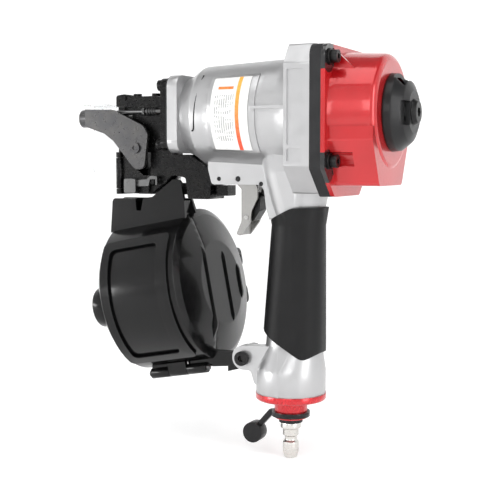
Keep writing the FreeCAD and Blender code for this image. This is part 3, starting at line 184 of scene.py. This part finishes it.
def turned_steel(name, colour, rough, ring):
    """Turned steel with the fine rings that the tool leaves."""
    material, tree, shader = new_material(name, 1.0, rough)
    grain = speckle(tree, ring, 4.0)
    tree.links.new(tint(tree, spread(tree, grain, 0, 1), colour, tuple(c * 0.93 for c in colour)),
                   shader.inputs["Base Color"])
    tree.links.new(spread(tree, speckle(tree, 0.004), rough - 0.04, rough + 0.08), shader.inputs["Roughness"])
    relief(tree, shader, grain, 0.000004, 0.4)
    return material


bright_steel = turned_steel("bright_steel", (0.5, 0.5, 0.49), 0.26, 0.0006)
dress("lever_pin", bright_steel, 0.0002)
dark_pin = turned_steel("dark_pin", (0.035, 0.035, 0.036), 0.38, 0.0005)
for name in ("housing_pins", "trigger_pin"):
    dress(name, dark_pin, 0.0002)
clip.data.materials.append(dark_pin)

# --- Rear cap ---------------------------------------------------------------------------------
# The cap is a die casting sprayed with gloss red and clamped on a black fibre ring by four
# socket bolts, each on a washer. The flange's ears round the bolts are dipped black.


def sprayed(name, light, dark, metallic, rough):
    """Sprayed gloss paint: a faint ripple under a clear coat. Also returns the paint's colour."""
    material, tree, shader = new_material(name, metallic, rough, Coat_Weight=0.6, Coat_Roughness=0.07)
    drift = spread(tree, speckle(tree, 0.02), 0, 1)
    paint = tint(tree, drift, light, dark)
    tree.links.new(paint, shader.inputs["Base Color"])
    tree.links.new(spread(tree, speckle(tree, 0.003), rough - 0.04, rough + 0.05), shader.inputs["Roughness"])
    relief(tree, shader, speckle(tree, 0.0022, 2.0), 0.000006, 0.3)
    return material, tree, shader, paint


def product(tree, *factors):
    """The product of several factors."""
    result = factors[0]
    for factor in factors[1:]:
        times = tree.nodes.new("ShaderNodeMath")
        times.operation = "MULTIPLY"
        tree.links.new(result, times.inputs[0])
        tree.links.new(factor, times.inputs[1])
        result = times.outputs["Value"]
    return result


def overprint(tree, under, factor, over):
    """Lays a colour over another where the factor is one. The upper one is a source or a constant."""
    mixed = tree.nodes.new("ShaderNodeMix")
    mixed.data_type = "RGBA"
    tree.links.new(factor, mixed.inputs["Factor"])
    tree.links.new(under, mixed.inputs["A"])
    if isinstance(over, tuple):
        mixed.inputs["B"].default_value = (*over, 1)
    else:
        tree.links.new(over, mixed.inputs["B"])
    return mixed.outputs["Result"]


red_paint, tree, shader, paint = sprayed("red_paint", (0.5, 0.01, 0.014), (0.43, 0.007, 0.01), 0.3, 0.2)
bolt_across = 0.0385
bolt_up = 0.0365
ear_radius = 0.0113
flange_rear = 0.218
fade = 0.0001
spot = tree.nodes.new("ShaderNodeTexCoord")
fold = tree.nodes.new("ShaderNodeVectorMath")
fold.operation = "ABSOLUTE"
tree.links.new(spot.outputs["Object"], fold.inputs[0])
flatten = tree.nodes.new("ShaderNodeVectorMath")
flatten.operation = "MULTIPLY"
flatten.inputs[1].default_value = (0, 1, 1)
tree.links.new(fold.outputs["Vector"], flatten.inputs[0])
reach = tree.nodes.new("ShaderNodeVectorMath")
reach.operation = "DISTANCE"
reach.inputs[1].default_value = (0, bolt_across, bolt_up)
tree.links.new(flatten.outputs["Vector"], reach.inputs[0])
along = tree.nodes.new("ShaderNodeSeparateXYZ")
tree.links.new(spot.outputs["Object"], along.inputs["Vector"])
near_bolt = spread(tree, reach.outputs["Value"], 1, 0, ear_radius - fade, ear_radius + fade)
on_flange = spread(tree, along.outputs["X"], 1, 0, flange_rear - fade, flange_rear + fade)
masked = overprint(tree, paint, product(tree, near_bolt, on_flange), (0.012, 0.012, 0.013))
tree.links.new(masked, shader.inputs["Base Color"])
dress("cylinder_cap", red_paint, 0.0007)


def moulded_black(name, tone, rough, grain, depth, coat=0.0):
    """Black plastic or rubber with a fine moulded grain."""
    material, tree, shader = new_material(name, 0.0, rough, Coat_Weight=coat, Coat_Roughness=0.08,
                                          Specular_IOR_Level=0.2)
    drift = spread(tree, speckle(tree, 0.012), 0, 1)
    tree.links.new(tint(tree, drift, (tone, tone, tone * 1.05), (tone * 1.3, tone * 1.3, tone * 1.36)),
                   shader.inputs["Base Color"])
    tree.links.new(spread(tree, speckle(tree, 0.003), rough - 0.04, rough + 0.06), shader.inputs["Roughness"])
    relief(tree, shader, speckle(tree, grain, 4.0), depth)
    return material


gasket_fibre = moulded_black("gasket_fibre", 0.018, 0.62, 0.0005, 0.00004)
dress("cap_gasket", gasket_fibre, 0.0003)


def blackened_steel(name, tone, rough, bare, radius):
    """Steel with a black oxide that has rubbed through to bare metal on its edges."""
    material, tree, shader = new_material(name, 0.85, rough)
    patches = spread(tree, speckle(tree, 0.006), 0, 1)
    black = tint(tree, patches, (tone, tone, tone * 1.05), (tone * 1.25, tone * 1.22, tone * 1.2))
    patchy = spread(tree, speckle(tree, 0.003, 5.0), 0.0, 0.6, 0.42, 0.66)
    rubbed = overprint(tree, black, product(tree, worn_edge(tree, radius), patchy), bare)
    tree.links.new(rubbed, shader.inputs["Base Color"])
    gloss = spread(tree, speckle(tree, 0.0025), rough - 0.06, rough + 0.09)
    tree.links.new(gloss, shader.inputs["Roughness"])
    relief(tree, shader, speckle(tree, 0.0006, 4.0), 0.00001, 0.6)
    return material


black_bolt = blackened_steel("black_bolt", 0.022, 0.34, (0.2, 0.2, 0.2), 0.0003)
for name in ("cap_bolts", "magazine_bolt", "exhaust_bolt"):
    dress(name, black_bolt, 0.0003)

# --- Cap washers ------------------------------------------------------------------------------
# Plain steel washers, blackened like the bolts, that spread the load of the cap bolts over the
# painted flange.
dress("cap_washers", black_bolt, 0.0002)

# --- Exhaust deflector --------------------------------------------------------------------------
# A moulded nylon disc with one side port, held by a central bolt so that it can be turned
# by hand to blow the air away from the user.
satin_nylon = moulded_black("satin_nylon", 0.01, 0.34, 0.0006, 0.00001, 0.1)
dress("exhaust_deflector", satin_nylon, 0.0006)

# --- Nose ---------------------------------------------------------------------------------------
# The nose is an investment casting in steel, blackened and oiled. Four bolts hold its flange
# on the barrel over a black gasket, and its nail channel hangs below the driving axis.
nose_steel = blackened_steel("nose_steel", 0.012, 0.27, (0.16, 0.155, 0.15), 0.0004)
for name in ("nose_housing", "arm_guide", "nail_door", "nose_bolts", "top_cover", "top_screws"):
    dress(name, nose_steel, 0.0004)
dress("nose_gasket", gasket_fibre, 0.0002)
dress("driver_guide", bright_steel, 0.0002)

# --- Contact foot and its link ------------------------------------------------------------------
# The foot that is pressed on the work is a hardened steel turning with a welded leaf, ground
# and left grey under a film of oil. Its link, rod and spring are blackened.
ground_steel = blackened_steel("ground_steel", 0.07, 0.3, (0.42, 0.41, 0.4), 0.0004)
for name in ("contact_foot", "contact_screw", "check_pawl", "feed_pawl"):
    dress(name, ground_steel, 0.0003)
dress("contact_link", nose_steel, 0.0003)
dark_steel = turned_steel("dark_steel", (0.12, 0.12, 0.12), 0.3, 0.0006)
for name in ("contact_rod", "door_hinge_pin", "door_latch", "feed_pawl_pin"):
    dress(name, dark_steel, 0.0002)
dress("contact_spring", dark_steel, 0)

# --- Debris guard -------------------------------------------------------------------------------
# A bent sheet of clear plastic, clipped beside the foot, keeps chips and collation wire out
# of the user's face.
guard, tree, shader = new_material("clear_guard", 0.0, 0.06, Transmission_Weight=0.92, IOR=1.46)
haze = spread(tree, speckle(tree, 0.008), 0, 1)
tree.links.new(tint(tree, haze, (0.93, 0.95, 0.96), (0.99, 0.99, 0.99)), shader.inputs["Base Color"])
tree.links.new(spread(tree, speckle(tree, 0.002, 5.0), 0.03, 0.16), shader.inputs["Roughness"])
relief(tree, shader, speckle(tree, 0.01, 2.0), 0.0002, 0.4)
dress("debris_guard", guard, 0.0002)

# --- Nail feed ----------------------------------------------------------------------------------
# A small air cylinder on the far side of the nose pushes a spring-returned piston, whose pawl
# draws the strip of nails up by one nail at each shot.
dress("feed_cylinder", cast_aluminium, 0.0003)
for name in ("feed_cap", "feed_piston"):
    dress(name, bright_steel, 0.0002)
dress("feed_spring", bright_steel, 0)

# --- Trigger ------------------------------------------------------------------------------------
# The trigger is a plated steel pressing that turns on a pin, with a black safety lever
# inside it. It lifts the stem of a small nylon valve.
trigger_plate = turned_steel("trigger_plate", (0.33, 0.325, 0.315), 0.33, 0.0009)
dress("trigger", trigger_plate, 0.0004)
dress("safety_lever", black_bolt, 0.0003)
natural_nylon, tree, shader = new_material("natural_nylon", 0.0, 0.45, Subsurface_Weight=0.05)
cloud = spread(tree, speckle(tree, 0.004), 0, 1)
tree.links.new(tint(tree, cloud, (0.66, 0.64, 0.58), (0.72, 0.7, 0.65)), shader.inputs["Base Color"])
relief(tree, shader, speckle(tree, 0.0008), 0.00002)
for name in ("valve_body", "head_valve"):
    dress(name, natural_nylon, 0.0002)
dress("valve_stem", bright_steel, 0.0002)
dress("valve_spring", bright_steel, 0)

# --- Grip ---------------------------------------------------------------------------------------
# A black rubber sleeve is stretched over the handle's core. Its surface is moulded with a
# fine stipple.
grip_rubber = moulded_black("grip_rubber", 0.006, 0.44, 0.0005, 0.00003)
dress("grip_sleeve", grip_rubber, 0.0009)

# --- Handle end and air plug ----------------------------------------------------------------------
# A red anodised cap screws into the handle's round end. The plated steel air plug goes into
# its boss through a black washer that carries the dust cap's strap.
anodised_red = sprayed("anodised_red", (0.55, 0.015, 0.022), (0.5, 0.012, 0.018), 0.6, 0.26)[0]
dress("handle_end_cap", anodised_red, 0.0005)
dress("plug_washer", gasket_fibre, 0.0003)
zinc_plate = turned_steel("zinc_plate", (0.66, 0.65, 0.62), 0.24, 0.0012)
dress("air_plug", zinc_plate, 0.0004)
dress("dust_cap", satin_nylon, 0.0004)

# --- Drum magazine --------------------------------------------------------------------------------
# Two glossy injection-moulded halves, hinged along the bottom. The near half swings open so
# that a coil of nails can be laid on the post.
gloss_black = moulded_black("gloss_black", 0.003, 0.2, 0.004, 0.0000005, 0.2)
for name in ("magazine_cover", "magazine_shell", "hub_knob"):
    dress(name, gloss_black, 0.0006)
dress("magazine_hinge_pin", dark_steel, 0.0002)
dress("nail_post", bright_steel, 0.0003)
dress("coil_platform", satin_nylon, 0.0004)

# --- Drum's raised bands ----------------------------------------------------------------------------
# The near half of the drum is stiffened by a raised border moulded round a plain window. The
# drum is tilted forwards under the nose, and the border follows its round side.
drum_radius = 0.058
border_radius = 0.0588
border_wall = 0.0014
drum_frame = Matrix.Translation((0.0353, 0.018, -0.1385)) @ Matrix.Rotation(math.radians(-10.8), 4, "Y")


def solid_skin(name, points, faces, thickness, material, body):
    """A thin moulded skin that is thickened to one side and rides on a body."""
    mesh = bpy.data.meshes.new(name)
    mesh.from_pydata(points, [], faces)
    for face in mesh.polygons:
        face.use_smooth = True
    skin = bpy.data.objects.new(name, mesh)
    bpy.context.collection.objects.link(skin)
    mesh.materials.append(material)
    thick = skin.modifiers.new("wall", "SOLIDIFY")
    thick.thickness = thickness
    thick.offset = -1
    soft = skin.modifiers.new("broken edges", "BEVEL")
    soft.width = 0.0003
    soft.segments = 3
    soft.limit_method = "ANGLE"
    soft.harden_normals = True
    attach(skin, body)


def rounded_loop(low, high, corner, steps=8, side=14):
    """Points round a rectangle with rounded corners, as (along, across) pairs."""

    def on_corner(middle, degrees):
        turn = math.radians(degrees)
        return middle[0] + corner * math.cos(turn), middle[1] + corner * math.sin(turn)

    loop = []
    middles = ((high[0] - corner, high[1] - corner), (low[0] + corner, high[1] - corner),
               (low[0] + corner, low[1] + corner), (high[0] - corner, low[1] + corner))
    for i, middle in enumerate(middles):
        arc = [on_corner(middle, 90 * i + 90 * k / steps) for k in range(steps + 1)]
        last = arc[-1]
        after = (i + 1) % 4
        first = on_corner(middles[after], 90 * after)
        loop += arc
        loop += [(last[0] + (first[0] - last[0]) * k / side, last[1] + (first[1] - last[1]) * k / side)
                 for k in range(1, side)]
    return loop


# lengths along the drum, and arc lengths round it from the near side, upwards positive
border_out = rounded_loop((0.0065, -0.058), (0.0635, 0.047), 0.004)
border_in = rounded_loop((0.0135, -0.050), (0.0540, 0.039), 0.004)
points, count = [], len(border_out)
for mix in (0, 0.5, 1):
    for outer, inner in zip(border_out, border_in):
        along_drum = outer[0] + (inner[0] - outer[0]) * mix
        turn = (outer[1] + (inner[1] - outer[1]) * mix) / drum_radius
        across, up = -border_radius * math.cos(turn), border_radius * math.sin(turn)
        points.append(drum_frame @ Vector((along_drum, across, up)))
faces = []
for row in range(2):
    for i in range(count):
        k = (i + 1) % count
        faces.append((row * count + i, row * count + k, (row + 1) * count + k, (row + 1) * count + i))
solid_skin("drum_border", points, faces, -border_wall, gloss_black, "cover")

# --- Ribs on the drum's rear ------------------------------------------------------------------------
# Upright webs are moulded across the rear faces of both halves to stiffen them. Each is a thin
# blade with sloping ends, drafted so that it leaves the mould.

# places along the drum
rib_root = 0.0690
rib_shoulder = 0.0778
rib_crest = 0.0786
rib_thickness = 0.0022


def upright_rib(name, across, foot, top, body):
    """A blade on the rear face: its place across the drum, and its lowest and highest ends."""
    profile = [(rib_root, foot - 0.011), (rib_shoulder, foot + 0.004), (rib_crest, foot + 0.007),
               (rib_crest, top - 0.007), (rib_shoulder, top - 0.004), (rib_root, top + 0.011)]
    mesh = bmesh.new()
    sides = []
    for shift in (-rib_thickness / 2, rib_thickness / 2):
        corners = [(u, across + shift * (1.5 if u == rib_root else 1.0), w) for u, w in profile]
        sides.append([mesh.verts.new(drum_frame @ Vector(corner)) for corner in corners])
    mesh.faces.new(sides[0])
    mesh.faces.new(sides[1][::-1])
    for i in range(len(profile)):
        k = (i + 1) % len(profile)
        mesh.faces.new((sides[0][k], sides[0][i], sides[1][i], sides[1][k]))
    data = bpy.data.meshes.new(name)
    mesh.to_mesh(data)
    mesh.free()
    data.materials.append(gloss_black)
    rib = bpy.data.objects.new(name, data)
    bpy.context.collection.objects.link(rib)
    soft = rib.modifiers.new("broken edges", "BEVEL")
    soft.width = 0.0004
    soft.segments = 3
    soft.harden_normals = True
    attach(rib, body)


upright_rib("cover_rib", -0.0205, -0.036, 0.030, "cover")
upright_rib("shell_rib_middle", 0.0095, -0.034, 0.026, "frame")
upright_rib("shell_rib_far", 0.0300, -0.018, 0.014, "frame")

# --- Engine inside the barrel -----------------------------------------------------------------------
# A honed liner, a piston with a rubber ring and a ground driver blade, a rubber bumper at the
# front and a sprung head valve at the rear.
for name in ("cylinder_liner", "drive_piston", "driver_blade", "head_valve_spring"):
    dress(name, bright_steel, 0)
bumper_rubber = moulded_black("bumper_rubber", 0.02, 0.6, 0.0008, 0.00003)
for name in ("liner_seal", "piston_bumper", "piston_ring"):
    dress(name, bumper_rubber, 0)

# --- Label ------------------------------------------------------------------------------------------
# A printed film is pressed into a raised frame on the near side of the barrel: fine grey
# rules on white, and an orange band that deepens to red. It carries no lettering.
label, tree, shader = new_material("label_film", 0.0, 0.28, Coat_Weight=0.3)
place = tree.nodes.new("ShaderNodeTexCoord")
axes = tree.nodes.new("ShaderNodeSeparateXYZ")
tree.links.new(place.outputs["Object"], axes.inputs["Vector"])


def printed(source, low, high):
    """One between two limits along an axis, and zero outside them."""
    above = spread(tree, source, 0, 1, low, low + 0.0002)
    below = spread(tree, source, 1, 0, high, high + 0.0002)
    return product(tree, above, below)


rules = tree.nodes.new("ShaderNodeTexWave")
rules.bands_direction = "X"
rules.inputs["Scale"].default_value = 180
tree.links.new(place.outputs["Object"], rules.inputs["Vector"])
gaps = spread(tree, speckle(tree, 0.0016, 0.0, (0.2, 1, 1)), 0, 1, 0.44, 0.5)
white = tint(tree, spread(tree, speckle(tree, 0.01), 0, 1), (0.78, 0.78, 0.76), (0.7, 0.7, 0.69))
grey = tint(tree, spread(tree, speckle(tree, 0.002), 0, 1), (0.3, 0.3, 0.3), (0.4, 0.4, 0.4))
orange = tint(tree, spread(tree, speckle(tree, 0.003), 0, 1), (0.7, 0.16, 0.03), (0.8, 0.22, 0.04))
deepening = tint(tree, spread(tree, axes.outputs["Z"], 0, 1, -0.02, 0.018),
                 (0.75, 0.07, 0.02), (0.9, 0.38, 0.06))
rule_block = product(tree, spread(tree, rules.outputs["Fac"], 0, 1, 0.5, 0.6), gaps,
                     printed(axes.outputs["X"], 0.1325, 0.1475), printed(axes.outputs["Z"], -0.019, 0.013))
band = printed(axes.outputs["X"], 0.1492, 0.1522)
heading = product(tree, printed(axes.outputs["X"], 0.1345, 0.1465),
                  printed(axes.outputs["Z"], 0.0165, 0.0185))
face = overprint(tree, white, rule_block, grey)
face = overprint(tree, face, band, deepening)
face = overprint(tree, face, heading, orange)
tree.links.new(face, shader.inputs["Base Color"])
tree.links.new(spread(tree, speckle(tree, 0.003), 0.22, 0.34), shader.inputs["Roughness"])
dress("label_plate", label, 0)

# --- Floor, lights and camera -------------------------------------------------------------------------
# The tool is shown in a plain pale bowl of card, under large soft studio lamps. The bowl's flat
# middle bends up into a wall all round, so that no edge shows behind the tool.
floor_z = cad_box[0][2] - 0.0005
bowl_x = 0.14
flat_reach = 1.6
bend = 0.8
wall_top = 3.0
outline = [(0.0, 0.0), (flat_reach, 0.0)]
for step in range(1, 13):
    rise = math.pi / 2 * step / 12
    outline.append((flat_reach + bend * math.sin(rise), bend - bend * math.cos(rise)))
outline.append((flat_reach + bend, wall_top))
turns = 72
points = []
faces = []
for i in range(turns):
    angle = math.tau * i / turns
    here, there = i * len(outline), (i + 1) % turns * len(outline)
    for distance, height in outline:
        points.append((bowl_x + distance * math.cos(angle), distance * math.sin(angle), floor_z + height))
    for j in range(len(outline) - 1):
        faces.append((here + j, there + j, there + j + 1, here + j + 1))
sweep = bpy.data.meshes.new("sweep")
sweep.from_pydata(points, [], faces)
for face in sweep.polygons:
    face.use_smooth = True
floor = bpy.data.objects.new("pale_sweep", sweep)
bpy.context.collection.objects.link(floor)
card, tree, shader = new_material("pale_card", 0.0, 0.7, Emission_Color=(1, 1, 1, 1), Emission_Strength=0.32)
tree.links.new(tint(tree, spread(tree, speckle(tree, 0.004), 0, 1), (0.9, 0.9, 0.9), (0.88, 0.88, 0.88)),
               shader.inputs["Base Color"])
sweep.materials.append(card)

target = Vector((0.1428, 0.0, -0.0974))


def softbox(name, spot, width, height, power):
    """A large flat lamp that faces the tool."""
    lamp = bpy.data.lights.new(name, "AREA")
    lamp.shape = "RECTANGLE"
    lamp.size = width
    lamp.size_y = height
    lamp.energy = power
    stand = bpy.data.objects.new(name, lamp)
    stand.location = spot
    stand.rotation_euler = (target - Vector(spot)).to_track_quat("-Z", "Y").to_euler()
    bpy.context.collection.objects.link(stand)


softbox("overhead", (0.15, -0.3, 0.95), 1.0, 0.7, 4.6)
softbox("left_strip", (-0.85, -0.75, -0.06), 0.5, 0.22, 4)
softbox("right_strip", (1.05, -0.35, 0.1), 0.3, 1.0, 4)
softbox("front_fill", (0.3, -1.4, 0.3), 0.7, 0.5, 3)

world = bpy.data.worlds.new("studio")
bpy.context.scene.world = world
world.use_nodes = True
world.node_tree.nodes["Background"].inputs["Color"].default_value = (1, 1, 1, 1)
world.node_tree.nodes["Background"].inputs["Strength"].default_value = 0.22

lens = bpy.data.cameras.new("camera")
lens.sensor_width = 36
lens.lens = 75.1
camera = bpy.data.objects.new("camera", lens)
camera.location = (0.4633, -0.6873, -0.0337)
camera.rotation_euler = (target - camera.location).to_track_quat("-Z", "Y").to_euler()
bpy.context.collection.objects.link(camera)
bpy.context.scene.camera = camera
bpy.context.scene.view_settings.view_transform = "Standard"
